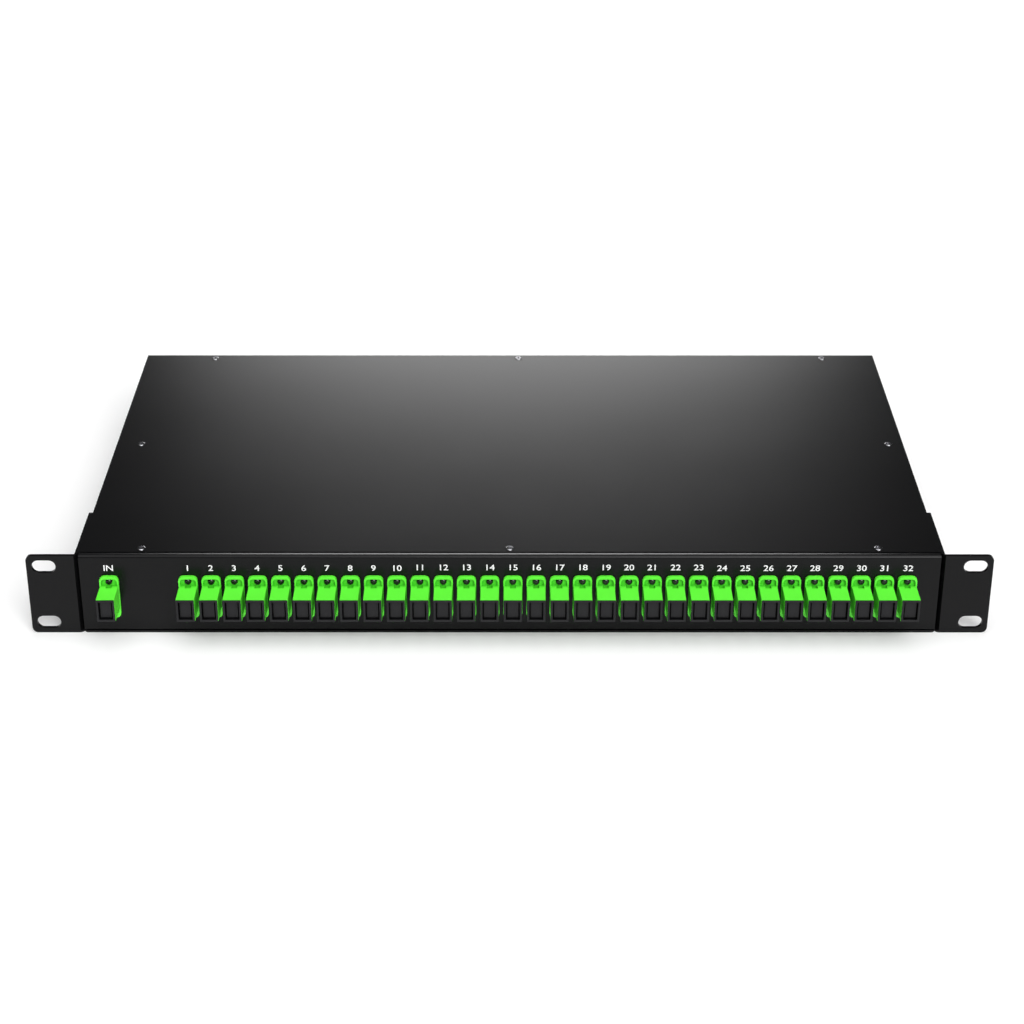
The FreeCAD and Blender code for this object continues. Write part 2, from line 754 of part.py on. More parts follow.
def make_reel(label, side):
    """An open drum on a disc, with tabs over the bundle."""
    body = new_body(label)
    drum = "reel_bend - bundle_radius - reel_gap"
    middle = (f"{side} * reel_place", REEL_MIDDLE)
    prism(body, f"{label}_drum", REEL_SIDES, drum, "reel_height", (*middle, FLOOR_LEVEL))
    hollow = f"{drum} - reel_wall"
    for number in range(2):
        long_side = f"2 * ({drum} + reel_tab)"
        sides = (long_side, "reel_tab_width") if number else ("reel_tab_width", long_side)
        block(
            body,
            f"{label}_tab_{number}",
            (f"{middle[0]} - ({sides[0]}) / 2", sides[0]),
            (f"{middle[1]} - ({sides[1]}) / 2", sides[1]),
            ("reel_height", "sheet_metal"),
        )
    floor_top = "2 * sheet_metal"
    prism(body, f"{label}_hollow", REEL_SIDES, hollow, "reel_height", (*middle, floor_top), cut=True)
    prism(
        body,
        f"{label}_hole",
        SHANK_SIDES,
        "floor_screw_shank + screw_gap",
        "3 * sheet_metal",
        (*middle, "0"),
        cut=True,
    )
    return body


def make_module():
    """The splitter module's case."""
    body = new_body("splitter_module")
    block(
        body,
        "case",
        ("-module_length / 2", "module_length"),
        (f"{BUNDLE_REAR} - module_width / 2", "module_width"),
        (FLOOR_LEVEL, "module_height"),
    )
    return body


def make_clamp():
    """A strap of folded steel over the module, with two feet."""
    body = new_body("module_clamp")
    across = ("-clamp_width / 2", "clamp_width")
    inside = "module_width / 2 + clamp_gap"
    outside = f"{inside} + sheet_metal"
    block(
        body,
        "arch",
        across,
        (f"{BUNDLE_REAR} - ({outside})", f"2 * ({outside})"),
        (FLOOR_LEVEL, "module_height + sheet_metal"),
    )
    block(
        body,
        "feet",
        across,
        (f"{BUNDLE_REAR} - ({outside}) - clamp_foot", f"2 * ({outside} + clamp_foot)"),
        (FLOOR_LEVEL, "sheet_metal"),
    )
    block(
        body,
        "arch_hollow",
        ("-clamp_width / 2 - 1", "clamp_width + 2"),
        (f"{BUNDLE_REAR} - ({inside})", f"2 * ({inside})"),
        ("0", "sheet_metal + module_height"),
        cut=True,
    )
    for number, (x, y) in enumerate(INNER_SCREW_PLACES[2:]):
        prism(
            body,
            f"foot_hole_{number}",
            SHANK_SIDES,
            "floor_screw_shank + screw_gap",
            "3 * sheet_metal",
            (x, y, "0"),
            cut=True,
        )
    return body


def make_clip():
    """A saddle over the bundle, about the bundle's middle, with its feet on the floor."""
    body = new_body("clip")
    outside = "bundle_radius + clip_wall"
    block(
        body,
        "saddle",
        ("-clip_width / 2", "clip_width"),
        (f"-({outside})", f"2 * ({outside})"),
        ("-module_height / 2", f"module_height / 2 + {outside}"),
    )
    block(
        body,
        "saddle_hollow",
        ("-clip_width / 2 - 1", "clip_width + 2"),
        ("-bundle_radius", "2 * bundle_radius"),
        ("-module_height / 2 - 1", "module_height / 2 + 1 + bundle_radius"),
        cut=True,
    )
    return body


def run_of_fibre(label, points, sides, radius, along, spin):
    """A fibre along straight runs between points at the height of the module's middle."""
    path = doc.addObject("Sketcher::SketchObject", f"{label}_path")
    place(path, z=MODULE_MIDDLE)
    for number, (x, y) in enumerate(points[1:]):
        start = FreeCAD.Vector(amount(points[number][0]), amount(points[number][1]))
        path.addGeometry(Part.LineSegment(start, FreeCAD.Vector(amount(x), amount(y))))
        if number:
            path.addConstraint(Sketcher.Constraint("Coincident", number - 1, 2, number, 1))
    for number, point in enumerate(points):
        end = (0, 1) if number == 0 else (number - 1, 2)
        for kind, text, side in (("DistanceX", point[0], "across"), ("DistanceY", point[1], "back")):
            held = path.addConstraint(Sketcher.Constraint(kind, -1, 1, *end, amount(text)))
            path.renameConstraint(held, f"point_{number}_{side}")
            path.setExpression(f"Constraints.point_{number}_{side}", formula(text))
    ring = doc.addObject("Part::RegularPolygon", f"{label}_ring")
    ring.Polygon = sides
    ring.Placement.Rotation = TURNS[along] * FreeCAD.Rotation(FreeCAD.Vector(0, 0, 1), spin)
    bind(ring, Circumradius=radius)
    place(ring, *points[0], MODULE_MIDDLE)
    sweep = doc.addObject("Part::Sweep", label)
    sweep.Label = label
    sweep.Sections = [ring]
    sweep.Spine = (path, [f"Edge{number}" for number in range(1, len(points))])
    sweep.Solid = True
    sweep.Transition = "Right corner"
    return sweep


def turn_points(middle_x, middle_y, radius, first, last, steps):
    """Points on an arc from one bearing to another, in degrees from the X axis."""
    points = []
    for step in range(steps + 1):
        bearing = first + (last - first) * step / steps
        across = f"{middle_x} + {radius} * cos({bearing} deg)"
        back = f"{middle_y} + {radius} * sin({bearing} deg)"
        points.append((across, back))
    return points


def make_bundle():
    """The output fibres in one bundle: out of the module, round the right reel, along the front."""
    start = ("module_length / 2 + module_boot", BUNDLE_REAR)
    end = ("bundle_end", BUNDLE_FRONT)
    turn = turn_points("reel_place", REEL_MIDDLE, "reel_bend", 90, -90, TURN_STEPS)
    flat = 180 / BUNDLE_SIDES
    radius = f"bundle_radius / cos({flat} deg)"
    return run_of_fibre("output_fibre_bundle", [start, *turn, end], BUNDLE_SIDES, radius, "X", flat)


def make_input_fibre():
    """The input fibre on the floor: back along the left side and into the module from the left."""
    start = ("input_place", BUNDLE_FRONT)
    end = ("-module_length / 2 - module_boot", BUNDLE_REAR)
    turn = turn_points(
        "input_place + input_bend", f"{BUNDLE_REAR} - input_bend", "input_bend", 180, 90, TURN_STEPS // 2
    )
    return run_of_fibre("input_fibre", [start, *turn, end], SHANK_SIDES, "fibre_radius", "Y", 0)


def make_tails():
    """One straight fibre from each pigtail down to the floor: to the input fibre, or to the bundle."""
    landings = [("input_place", BUNDLE_FRONT)]
    for number in range(OUTPUT_PORTS):
        landings.append((f"first_tail + {number} * tail_pitch", f"{BUNDLE_FRONT} - bundle_radius"))
    tails = []
    for number, (x, landing) in enumerate(zip(PORT_PLACES, landings)):
        ends = []
        high_end = (x, "connector_reach", "port_height")
        for end, (along, back, rise) in enumerate((high_end, (*landing, MODULE_MIDDLE))):
            ring = doc.addObject("Part::RegularPolygon", f"tail_end_{number}_{end}")
            ring.Polygon = SHANK_SIDES
            bind(ring, Circumradius="fibre_radius")
            ring.Placement.Rotation = TURNS["Y"]
            place(ring, along, back, rise)
            ends.append(ring)
        tail = doc.addObject("Part::Loft", f"tail_{number}")
        tail.Sections = ends
        tail.Solid = True
        tail.Ruled = True
        tails.append(tail)
    return group("fibre_tails", tails)


def build():
    """Every sub-part, in the order of assembly."""
    adapter = make_adapter()
    dust_cap = make_dust_cap()
    adapter_screw = make_screw("adapter_screw", "adapter_screw_reach", ADAPTER_SHANK_SIDES)
    floor_screw = make_screw("floor_screw", "2 * sheet_metal - floor_screw_tip")
    cover_screw = make_screw("cover_screw", "cover_screw_reach")
    ear_screw = make_screw("ear_screw", "ear_screw_reach")
    sleeve = make_sleeve()
    connector = make_connector()
    module_boot = make_module_boot()
    clip = make_clip()
    face_front = FreeCAD.Rotation(FreeCAD.Vector(1, 0, 0), 90)

    parts = [
        make_base_tray(),
        make_front_panel(),
        make_top_cover(),
        group("rack_ears", [make_rack_ear("left_rack_ear", -1), make_rack_ear("right_rack_ear", 1)]),
        at_points("floor_screws", floor_screw, PANEL_SCREW_PLACES + INNER_SCREW_PLACES, "2 * sheet_metal"),
        at_points("cover_screws", cover_screw, FRONT_ROW + REAR_ROW + SIDE_PAIR, "chassis_height"),
    ]

    screws = []
    for side in (-1, 1):
        outward = FreeCAD.Rotation(FreeCAD.Vector(0, 1, 0), 90 * side)
        head_seat = f"{side} * (chassis_width / 2 + ear_metal)"
        for number, (y, z) in enumerate(EAR_SCREW_PLACES):
            screws.append(copy_of(ear_screw, f"ear_screw_{side}_{number}", head_seat, y, z, outward))
    parts.append(group("ear_screws", screws))

    parts.append(at_ports("input_adapter", adapter, PORT_PLACES[:1]))
    for first in range(0, OUTPUT_PORTS, OUTPUTS_IN_GROUP):
        label = f"output_adapters_{first + 1}_to_{first + OUTPUTS_IN_GROUP}"
        parts.append(at_ports(label, adapter, OUTPUT_PLACES[first : first + OUTPUTS_IN_GROUP]))
    parts.append(
        at_ports(
            "adapter_screws",
            adapter_screw,
            PORT_PLACES,
            "-flange_metal",
            ("adapter_screw_rise", "-adapter_screw_rise"),
            face_front,
        )
    )
    parts.append(at_ports("alignment_sleeves", sleeve, PORT_PLACES))
    parts.append(at_ports("pigtail_connectors", connector, PORT_PLACES))
    parts.append(copy_of(dust_cap, "input_dust_cap", "input_place", "0", "port_height"))
    for number, x in enumerate(OUTPUT_PLACES, 1):
        parts.append(copy_of(dust_cap, f"output_dust_cap_{number}", x, "0", "port_height"))

    parts.append(make_module())
    module_boots = []
    for side in (-1, 1):
        outward = FreeCAD.Rotation(FreeCAD.Vector(0, 0, 1), -90 * side)
        module_end = (f"{side} * module_length / 2", BUNDLE_REAR, MODULE_MIDDLE)
        module_boots.append(copy_of(module_boot, f"module_boot_{side}", *module_end, outward))
    parts.append(group("module_boots", module_boots))
    parts.append(make_clamp())
    reels = [make_reel("left_reel", -1), make_reel("right_reel", 1)]
    parts.append(group("fibre_reels", reels))
    clip_places = (
        ("first_tail + 4.5 * tail_pitch", BUNDLE_FRONT),
        ("first_tail + 12.5 * tail_pitch", BUNDLE_FRONT),
        ("module_length / 2 + module_boot + 3 * clip_width", BUNDLE_REAR),
    )
    parts.append(at_points("fibre_clips", clip, clip_places, MODULE_MIDDLE))
    parts.append(make_bundle())
    parts.append(make_input_fibre())
    parts.append(make_tails())
    return parts


parts = build()
for part in parts:
    held = dict(part.ExpressionEngine).get("Placement.Base.y")
    own = f"{held} + " if held else ""
    part.setExpression("Placement.Base.y", own + formula(FRONT_SHIFT))
doc.recompute()

for item in doc.Objects:
    if "Invalid" in item.State or "Error" in item.State:
        raise RuntimeError(f"{item.Label} did not build: {item.State}")
for part in parts:
    shape = part.Shape
    if shape.isNull() or not shape.isValid():
        raise RuntimeError(f"{part.Label} has no valid shape")
    Part.makeCompound(shape.Solids).exportStep(f"parts/{part.Label}.step")
    print(part.Label, len(shape.Solids), "solids", round(shape.Volume), "mm3")
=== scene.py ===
import math

import bpy
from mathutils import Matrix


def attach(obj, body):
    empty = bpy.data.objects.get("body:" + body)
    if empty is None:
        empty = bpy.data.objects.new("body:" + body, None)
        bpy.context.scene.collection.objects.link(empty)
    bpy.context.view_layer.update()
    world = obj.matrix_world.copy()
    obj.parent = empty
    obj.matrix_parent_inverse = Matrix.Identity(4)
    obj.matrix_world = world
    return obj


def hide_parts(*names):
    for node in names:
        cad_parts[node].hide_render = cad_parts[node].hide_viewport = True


bl_info = {
    "name": "Rack Fibre Splitter",
    "version": (1, 0, 0),
    "blender": (4, 5, 0),
    "location": "3D View > Sidebar > Splitter",
    "description": "Visible pieces, finishes and studio for a one-unit fibre splitter",
    "category": "Object",
}

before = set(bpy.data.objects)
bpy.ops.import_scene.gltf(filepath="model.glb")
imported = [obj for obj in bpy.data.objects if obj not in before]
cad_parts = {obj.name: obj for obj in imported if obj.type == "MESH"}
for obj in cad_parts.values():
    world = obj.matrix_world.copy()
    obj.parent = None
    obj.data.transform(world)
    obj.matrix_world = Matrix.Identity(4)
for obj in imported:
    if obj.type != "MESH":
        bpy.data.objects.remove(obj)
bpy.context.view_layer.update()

# Every length in this file is in millimetres until it reaches Blender, which works in metres.
MM = 0.001
CHASSIS = "chassis"

# Places that the splitter's frame is built to
PANEL_FACE = -116.65
LIP_BACK = PANEL_FACE + 3.3
COVER_TOP = 44.0
CHASSIS_SIDE = 215.0
EAR_FACE = 217.0
PORT_HEIGHT = 21.8
PORT_PITCH = 11.6
FIRST_OUTPUT = -160.8
INPUT_PLACE = -200.3
OUTPUT_PORTS = 32
OUTPUTS_IN_GROUP = 8

# The cover's screws stand at these places along X and Y, and each ear's screws at these along Y and Z
COVER_SCREWS = (
    (-184.5, -108.45),
    (0.0, -108.45),
    (184.5, -108.45),
    (-174.6, 128.85),
    (4.9, 128.85),
    (184.4, 128.85),
    (-201.7, 11.85),
    (206.9, 11.85),
)
EAR_SCREWS = ((-102.65, 11.0), (-102.65, 33.0), (-76.65, 22.0))

# How far a cutting tool reaches past the face that it opens
PAST = 1.0

# How many flat sides a round thing has
ROUND_SIDES = 20
HOLE_SIDES = 16
SHANK_SIDES = 12

# The folded sheets: the groove at the ears' folds, the seam behind the lip, and the lip
GROOVE_FOOT = 1.2
GROOVE_BACK = 3.6
GROOVE_LEAN = 2.5
SEAM_WIDTH = 1.1
LIP_FALL = 0.13

# The adapter about the middle of its port, with Y = 0 on the panel's face
FLANGE_WIDTH = 9.6
FLANGE_THICKNESS = 2.0
FLANGE_REACH = (-12.1, 11.2)
RECESS_WIDTH = 7.8
RECESS_REACH = (5.0, 9.8)
RECESS_FLOOR = -0.7
RECESS_CORNER = 1.6
NOTCH_WIDTH = 2.9
NOTCH_REACH = (4.95, 6.6)
NOTCH_FRONT = -4.0
BARREL_WIDTH = 9.1
BARREL_HEIGHT = 12.1
BARREL_FRONT = -15.5
BARREL_BACK = 13.0
CAVITY_WIDTH = 7.6
FRONT_CAVITY_HEIGHT = 10.6
REAR_CAVITY_HEIGHT = 9.6
WALL_FRONT = -3.0
WALL_BACK = -1.0
BORE_RADIUS = 1.65
SCREW_HOLE_RADIUS = 1.0
SCREW_HOLE_RISE = 8.4

# The dust cap in the same place. Each step is an inset of the last face and how far it then moves along Y.
CAP_FRONT = -16.7
CAP_PLATE = 0.55
CAP_NECK = (0.4, 0.65)
CAP_PLUG = (0.41, 6.8)
CAP_POCKET = (1.1, 3.6)
CAP_RAISED_MIDDLE = (0.6, -2.2)

# The ceramic sleeve in the same place
SLEEVE_RADIUS = 1.6
SLEEVE_FRONT = -7.7
SLEEVE_LENGTH = 11.4
SLEEVE_WALL = 0.33

# The cross in a screw's head: its reach and half its width as shares of the head's radius, its greatest
# depth as a share of the head's height
CROSS_REACH = 0.62
CROSS_WIDTH = 0.17
CROSS_DEPTH = 0.7

# The cover's screws sit this much lower than the cover's top, so that their heads stay inside the frame's box
COVER_SCREW_SINK = 0.4

# The printed numbers, whose capitals are this share of the typeface's size
CAPITAL_HEIGHT = 0.73
NUMBER_STRETCH = 1.15
NUMBER_LIFT = 0.015
NUMBER_BOLDNESS = 0.009
NUMBER_THICKNESS = 0.004
LOWER_NUMBERS_SLIP = 0.4
LAST_LOWER_AT_LEFT = 10
FIRST_LOWER_AT_RIGHT = 24

# The finishes: how near a wall the painted shade darkens a recess, and the grey that calm plastic throws on
# its neighbours
PAINTED_SHADE_REACH = 3
THROWN_GREY = (0.2, 0.2, 0.2, 1.0)

# The studio. The camera's dip and turn are in degrees, and its lens and sensor in millimetres.
FLOOR_SIZE = 40000
FLOOR_GLOW = 0.07
ROOM_LIGHT = 0.04
SUN_HEIGHT = 3000
CAMERA_PLACE = (1.56, -1124.1, 590.2)
CAMERA_LENS = 80.97
CAMERA_SENSOR = 36
CAMERA_DIP = 27.37
CAMERA_TURN = 0.023


def linear(hexa):
    """A colour written as sRGB hex, as Blender's linear colour."""
    channels = []
    for start in (1, 3, 5):
        value = int(hexa[start : start + 2], 16) / 255
        channels.append(value / 12.92 if value <= 0.04045 else ((value + 0.055) / 1.055) ** 2.4)
    return (*channels, 1.0)


def colour_property(name, description, hexa):
    return bpy.props.FloatVectorProperty(
        name=name, description=description, default=linear(hexa), size=4, min=0, max=1, subtype="COLOR"
    )


def length_property(name, description, millimetres):
    return bpy.props.FloatProperty(
        name=name, description=description, default=millimetres * MM, min=0, subtype="DISTANCE", unit="LENGTH"
    )


class SplitterColours(bpy.types.PropertyGroup):
    """Colours of the splitter's finishes."""

    coat: colour_property("Powder coat", "Black coat on the folded steel", "#0e0e0f")
    adapter: colour_property("Adapters", "Green plastic of the fibre adapters", "#64fb3a")
    cap: colour_property("Dust caps", "Black plastic of the dust caps", "#1a1a1c")
    ink: colour_property("Print", "White ink of the port numbers", "#ffffff")
    floor: colour_property("Floor", "Paper sweep under the splitter", "#fafafa")


class SplitterSizes(bpy.types.PropertyGroup):
    """Sizes of the splitter's fine detail."""

    sheet_edge: length_property("Sheet edge", "Rounding of the coated steel's edges", 0.25)
    plastic_edge: length_property("Plastic edge", "Rounding of the moulded edges", 0.22)
    flange_corner: length_property("Flange corner", "Rounded corner of an adapter's flange", 2.3)
    label_height: length_property("Number height", "Height of the printed numbers", 3.35)
    label_base: length_property("Number base", "Underside of the chassis to the foot of the numbers", 35.95)
    screw_recess: length_property("Screw recess", "Greatest depth of the cross in the screw heads", 0.7)


def colours():
    return bpy.context.scene.splitter_colours


def sizes():
    return bpy.context.scene.splitter_sizes


# Modelling by hand

def deselect():
    bpy.ops.object.select_all(action="DESELECT")


def activate(*items):
    """Selects these objects alone and makes the first one active."""
    deselect()
    for item in items:
        item.select_set(True)
    bpy.context.view_layer.objects.active = items[0]


def settle(item):
    """Moves the object's place into its mesh, so that it stands at the origin."""
    activate(item)
    bpy.ops.object.transform_apply(location=True, rotation=True, scale=True)
    return item


def across(width):
    """The low and high ends of a width that lies evenly about zero."""
    return (-width / 2, width / 2)


def mirrored(side, reach):
    """The low and high ends of a reach on the side of zero that has this sign."""
    return sorted(side * end for end in reach)


def block(name, x, y, z):
    """A box between the low and high ends that x, y and z give, in millimetres."""
    deselect()
    middle = [(low + high) / 2 * MM for low, high in (x, y, z)]
    bpy.ops.mesh.primitive_cube_add(size=1, location=middle)
    item = bpy.context.object
    item.name = name
    item.scale = [(high - low) * MM for low, high in (x, y, z)]
    return settle(item)


def rod(name, sides, radius, start, length, along):
    """A round bar that starts at a place and runs along an axis, in millimetres."""
    deselect()
    axis = "XYZ".index(along)
    middle = list(start)
    middle[axis] += length / 2
    turn = {"Y": (math.pi / 2, 0, 0), "Z": (0, 0, 0)}[along]
    bpy.ops.mesh.primitive_cylinder_add(
        vertices=sides,
        radius=radius * MM,
        depth=length * MM,
        location=[value * MM for value in middle],
        rotation=turn,
    )
    item = bpy.context.object
    item.name = name
    return settle(item)


def pick_faces(item, wanted):
    """Selects the faces for which wanted(normal) holds, and opens them for editing."""
    activate(item)
    mesh = item.data
    for vertex in mesh.vertices:
        vertex.select = False
    for edge in mesh.edges:
        edge.select = False
    for face in mesh.polygons:
        face.select = bool(wanted(face.normal))
    bpy.context.tool_settings.mesh_select_mode = (False, False, True)
    bpy.ops.object.mode_set(mode="EDIT")


def pick_edges(item, wanted):
    """Selects the edges for which wanted(one end, other end) holds, and opens them for editing."""
    activate(item)
    mesh = item.data
    for face in mesh.polygons:
        face.select = False
    for vertex in mesh.vertices:
        vertex.select = False
    for edge in mesh.edges:
        first, second = (mesh.vertices[number].co / MM for number in edge.vertices)
        edge.select = bool(wanted(first, second))
    bpy.context.tool_settings.mesh_select_mode = (False, True, False)
    bpy.ops.object.mode_set(mode="EDIT")


def back_to_object():
    bpy.ops.object.mode_set(mode="OBJECT")


def faces_front(normal):
    return normal.y < -0.9


def faces_back(normal):
    return normal.y > 0.9


def runs_back(first, second):
    """Whether an edge runs from the front to the back."""
    return abs(first.y - second.y) > 1


def push_picked(*steps):
    """Insets the picked face and pushes it along Y, once for each step, in millimetres."""
    for inset, push in steps:
        bpy.ops.mesh.inset(thickness=inset * MM)
        bpy.ops.mesh.extrude_region_move(TRANSFORM_OT_translate={"value": (0, push * MM, 0)})
    back_to_object()


def move_edges(item, wanted, x=0, z=0):
    """Moves the edges for which wanted(one end, other end) holds, in millimetres."""
    pick_edges(item, wanted)
    bpy.ops.transform.translate(value=(x * MM, 0, z * MM))
    back_to_object()


def bevel_edges(item, wanted, size):
    """Rounds the edges for which wanted(one end, other end) holds, in metres."""
    pick_edges(item, wanted)
    bpy.ops.mesh.bevel(offset=size, offset_type="OFFSET", segments=3, affect="EDGES")
    back_to_object()


def apply_modifier(item, kind, **settings):
    activate(item)
    modifier = item.modifiers.new(kind.title(), kind)
    for name, value in settings.items():
        setattr(modifier, name, value)
    bpy.ops.object.modifier_apply(modifier=modifier.name)


def boolean(item, tool, operation):
    """Cuts the tool out of the item, or adds it, and throws the tool away."""
    apply_modifier(item, "BOOLEAN", operation=operation, object=tool, solver="EXACT")
    bpy.data.objects.remove(tool)


def cut(item, *tools):
    for tool in tools:
        boolean(item, tool, "DIFFERENCE")


def clean(item, angle=1.0):
    """Merges doubles and lets flat faces join."""
    activate(item)
    bpy.ops.object.mode_set(mode="EDIT")
    bpy.ops.mesh.select_all(action="SELECT")
    bpy.ops.mesh.customdata_custom_splitnormals_clear()
    bpy.ops.mesh.remove_doubles(threshold=0.002 * MM)
    bpy.ops.mesh.dissolve_limited(angle_limit=math.radians(angle))
    back_to_object()


def smooth(item, angle=35.0):
    """Smooths the shading over the rounded edges and keeps the flat faces flat."""
    activate(item)
    bpy.ops.object.shade_smooth_by_angle(angle=math.radians(angle))
    apply_modifier(item, "WEIGHTED_NORMAL", keep_sharp=True, weight=100)


def round_edges(item, size):
    """Softens the sharp edges by a size in metres and smooths the shading over them."""
    apply_modifier(
        item,
        "BEVEL",
        width=size,
        segments=2,
        limit_method="ANGLE",
        angle_limit=math.radians(35),
        use_clamp_overlap=True,
    )
    smooth(item)


def join(name, items):
    """One object from several, each part with the shape it had."""
    activate(*items)
    if len(items) > 1:
        bpy.ops.object.join()
    joined = bpy.context.object
    joined.name = name
    return joined


def copy_to(item, x, y, z, turn=(0, 0, 0)):
    """A copy of the item with its own mesh, turned about the origin and moved by millimetres."""
    activate(item)
    bpy.ops.object.duplicate()
    made = bpy.context.object
    made.rotation_euler = turn
    made.location = (x * MM, y * MM, z * MM)
    return settle(made)


def copy_of_node(node, name):
    """A merged copy of a node of the frame, free to be finished."""
    made = bpy.data.objects.new(name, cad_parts[node].data.copy())
    bpy.context.scene.collection.objects.link(made)
    clean(made, 0.5)
    return made


def dress(item, material, slot, *nodes, body=CHASSIS):
    """Gives a finished piece its material and its body, and hides the nodes it stands for."""
    item.data.materials.clear()
    item.data.materials.append(material)
    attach(item, body)
    if nodes:
        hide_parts(*nodes)
    return item


def paint_node(node, material):
    """A new finish for a node of the frame that keeps its shape."""
    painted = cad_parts[node].data.materials
    for number in range(len(painted)):
        painted[number] = material


# Materials

def add_node(tree, kind, inputs=None, **settings):
    """A node with its settings. An input is a value, or the output of another node."""
    node = tree.nodes.new(kind)
    for name, value in settings.items():
        setattr(node, name, value)
    for name, value in (inputs or {}).items():
        if isinstance(value, bpy.types.NodeSocket):
            tree.links.new(value, node.inputs[name])
        else:
            node.inputs[name].default_value = value
    return node


def per_millimetre(size):
    """The scale of a pattern whose grains are this many millimetres wide."""
    return 1 / (size * MM)


def shade(colour, factor):
    """The colour made darker or lighter."""
    return (*[min(1.0, channel * factor) for channel in colour[:3]], 1.0)


def paint_shade_in_recesses(tree, tone, shade_colour):
    """Paints shade into the tone: turns it to a darker colour where the piece's own walls close it in."""
    nearby = {"Distance": PAINTED_SHADE_REACH * MM}
    open_air = add_node(tree, "ShaderNodeAmbientOcclusion", nearby, samples=8, only_local=True).outputs["AO"]
    spread = {"Value": open_air, "From Min": 0.45, "From Max": 0.95}
    shown = add_node(tree, "ShaderNodeMapRange", spread).outputs["Result"]
    colours_by_shade = {"Fac": shown, "Color1": shade_colour, "Color2": tone}
    return add_node(tree, "ShaderNodeMixRGB", colours_by_shade).outputs["Color"]


def calm_reflections(tree, tone, calm):
    """Turns a share of the tone to grey in the light that the piece throws on what stands beside it."""
    thrown = add_node(tree, "ShaderNodeLightPath").outputs["Is Diffuse Ray"]
    share = add_node(tree, "ShaderNodeMath", {0: thrown, 1: calm}, operation="MULTIPLY").outputs["Value"]
    colours_by_ray = {"Fac": share, "Color1": tone, "Color2": THROWN_GREY}
    return add_node(tree, "ShaderNodeMixRGB", colours_by_ray).outputs["Color"]


def finish(
    name, colour, *, rough, grain, cloud, bump, darker=0.85, lighter=1.15, calm=0.0, recess_shade=None, **uniform
):
    """A material with fine bumps, and clouds of slightly different colour and gloss.

    rough gives the lowest and highest roughness, grain and cloud the widths of the two patterns in
    millimetres, and bump the height of the fine one in millimetres. The clouds go from darker to lighter
    times the colour. calm is the share of the colour that the piece keeps to itself, and doesn't throw on
    what stands beside it. recess_shade is the colour of painted shade, which darkens the tone where the
    piece's own walls close it in. The rest is set on the shader.
    """
    material = bpy.data.materials.new(name)
    material.use_nodes = True
    tree = material.node_tree
    tree.nodes.clear()
    place = add_node(tree, "ShaderNodeTexCoord").outputs["Object"]
    patterns = []
    for width, detail in ((grain, 2.0), (cloud, 3.0)):
        pattern = {"Vector": place, "Scale": per_millimetre(width), "Detail": detail}
        patterns.append(add_node(tree, "ShaderNodeTexNoise", pattern).outputs["Fac"])
    fine, broad = patterns
    clouds = {"Fac": broad, "Color1": shade(colour, darker), "Color2": shade(colour, lighter)}
    tone = add_node(tree, "ShaderNodeMixRGB", clouds).outputs["Color"]
    # Painted shade: the tone turns darker in the piece's own recesses, where its walls close it in.
    if recess_shade:
        tone = paint_shade_in_recesses(tree, tone, recess_shade)
    if calm:
        tone = calm_reflections(tree, tone, calm)
    gloss = {"Value": broad, "From Min": 0.3, "From Max": 0.7, "To Min": rough[0], "To Max": rough[1]}
    relief = {"Height": fine, "Strength": 1.0, "Distance": bump * MM}
    surface = {
        "Base Color": tone,
        "Roughness": add_node(tree, "ShaderNodeMapRange", gloss).outputs["Result"],
        "Normal": add_node(tree, "ShaderNodeBump", relief).outputs["Normal"],
        **{key.replace("_", " "): value for key, value in uniform.items()},
    }
    shader = add_node(tree, "ShaderNodeBsdfPrincipled", surface)
    add_node(tree, "ShaderNodeOutputMaterial", {"Surface": shader.outputs["BSDF"]})
    return material


def powder_coat():
    """Polyester powder coat, baked on steel: satin black with a fine orange peel that breaks up the gloss."""
    return finish(
        "powder_coated_steel",
        colours().coat,
        rough=(0.208, 0.218),
        grain=0.7,
        cloud=60,
        bump=0.002,
        IOR=1.5,
        Specular_IOR_Level=0.17,
    )


def lacquered_screw_steel():
    """Screw steel with a baked black lacquer: near black, with small bright glints."""
    return finish(
        "black_lacquered_steel",
        linear("#070708"),
        rough=(0.10, 0.14),
        grain=0.25,
        cloud=2,
        bump=0.0005,
        IOR=1.6,
    )


def passivated_screw_steel():
    """Zinc-plated screw steel with a thin black passivate: dark grey metal."""
    return finish(
        "black_passivated_steel",
        linear("#a4a4a8"),
        rough=(0.16, 0.24),
        grain=0.25,
        cloud=2,
        bump=0.001,
        Metallic=1.0,
    )


def green_plastic():
    """Injection moulded PBT in the bright green of angled connectors: smooth, with a soft sheen."""
    red, green, blue, _ = colours().adapter
    return finish(
        "moulded_green_plastic",
        colours().adapter,
        rough=(0.42, 0.5),
        grain=0.4,
        cloud=9,
        bump=0.001,
        darker=0.97,
        lighter=1.03,
        calm=0.9,
        # Painted shade: the green turns deeper and more saturated where the flange's recesses and notches
        # close it in.
        recess_shade=(red * 0.3, green * 0.65, blue * 0.1, 1.0),
        IOR=1.5,
    )


def cap_plastic():
    """Soft moulded polyethylene: charcoal, matt, with a faint bloom."""
    return finish(
        "moulded_black_polyethylene",
        colours().cap,
        rough=(0.42, 0.5),
        grain=0.3,
        cloud=5,
        bump=0.002,
        # Painted shade: the charcoal turns near black in the cap's pocket and round its raised middle.
        recess_shade=shade(colours().cap, 0.25),
        Specular_IOR_Level=0.25,
    )


def white_ceramic():
    """Sintered zirconia, ground and polished: clean white with a sharp gloss."""
    return finish(
        "polished_zirconia",
        linear("#f2efe8"),
        rough=(0.10, 0.16),
        grain=0.3,
        cloud=4,
        bump=0.0005,
        darker=0.97,
        lighter=1.0,
        IOR=2.1,
    )


def connector_plastic():
    """Moulded plastic of the connectors behind the panel: a darker green than the adapters."""
    return finish(
        "moulded_connector_plastic",
        linear("#2f9a3a"),
        rough=(0.4, 0.5),
        grain=0.4,
        cloud=8,
        bump=0.001,
        darker=0.95,
        lighter=1.05,
    )


